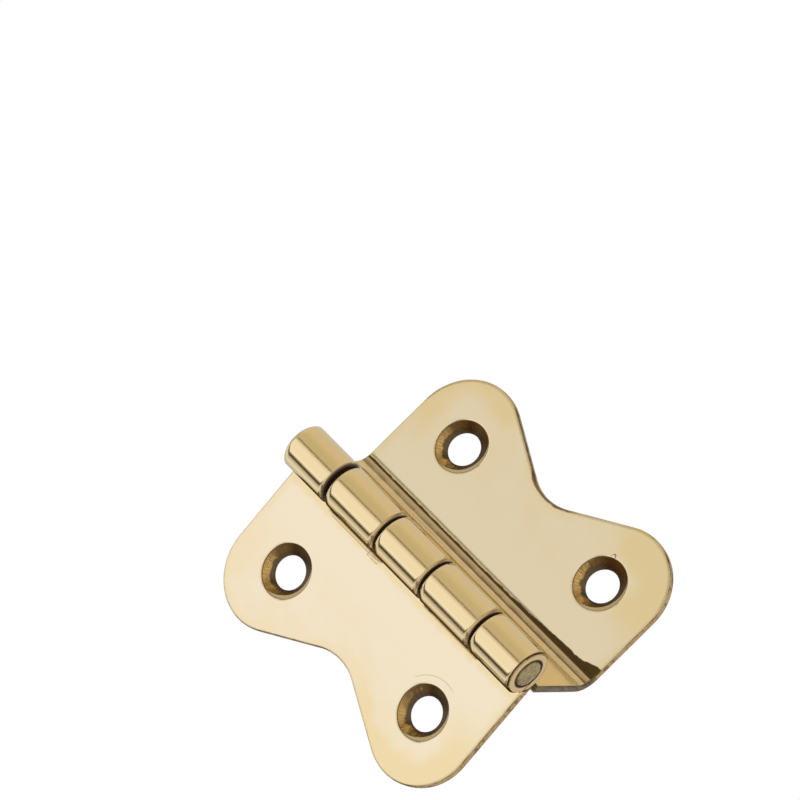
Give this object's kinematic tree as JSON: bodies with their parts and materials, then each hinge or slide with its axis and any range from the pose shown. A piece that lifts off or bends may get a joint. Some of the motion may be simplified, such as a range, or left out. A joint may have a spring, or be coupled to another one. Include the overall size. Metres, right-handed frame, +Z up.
{
  "type": "cranked butterfly butt hinge",
  "caption": "Polished brass butt hinge with butterfly leaves, one flat and one cranked, on a plain pin; countersunk screw holes.",
  "frame": {"origin": "on the back face of the cranked leaf, midway between its two screw holes", "axes": "+Z up along the vertical pin, +X from the pin out over the cranked leaf, +Y out of the leaf's back into what it is screwed to; the countersunk faces look along -Y"},
  "size_m": [0.0371, 0.0149, 0.0382],
  "materials": {
    "brass_sheet": "polished",
    "brass_pin": "polished, slightly dulled"
  },
  "bodies": {
    "cranked_leaf": {"cranked_leaf": "brass_sheet"},
    "flat_leaf": {"flat_leaf": "brass_sheet", "hinge_pin": "brass_pin"}
  },
  "joints": [
    {"name": "leaf_swing", "type": "hinge", "parent": "cranked_leaf", "child": "flat_leaf", "pos_m": [-0.0119, -0.01219, 0], "axis": [0, 0, 1], "range_deg": [-19, 230]}
  ]
}
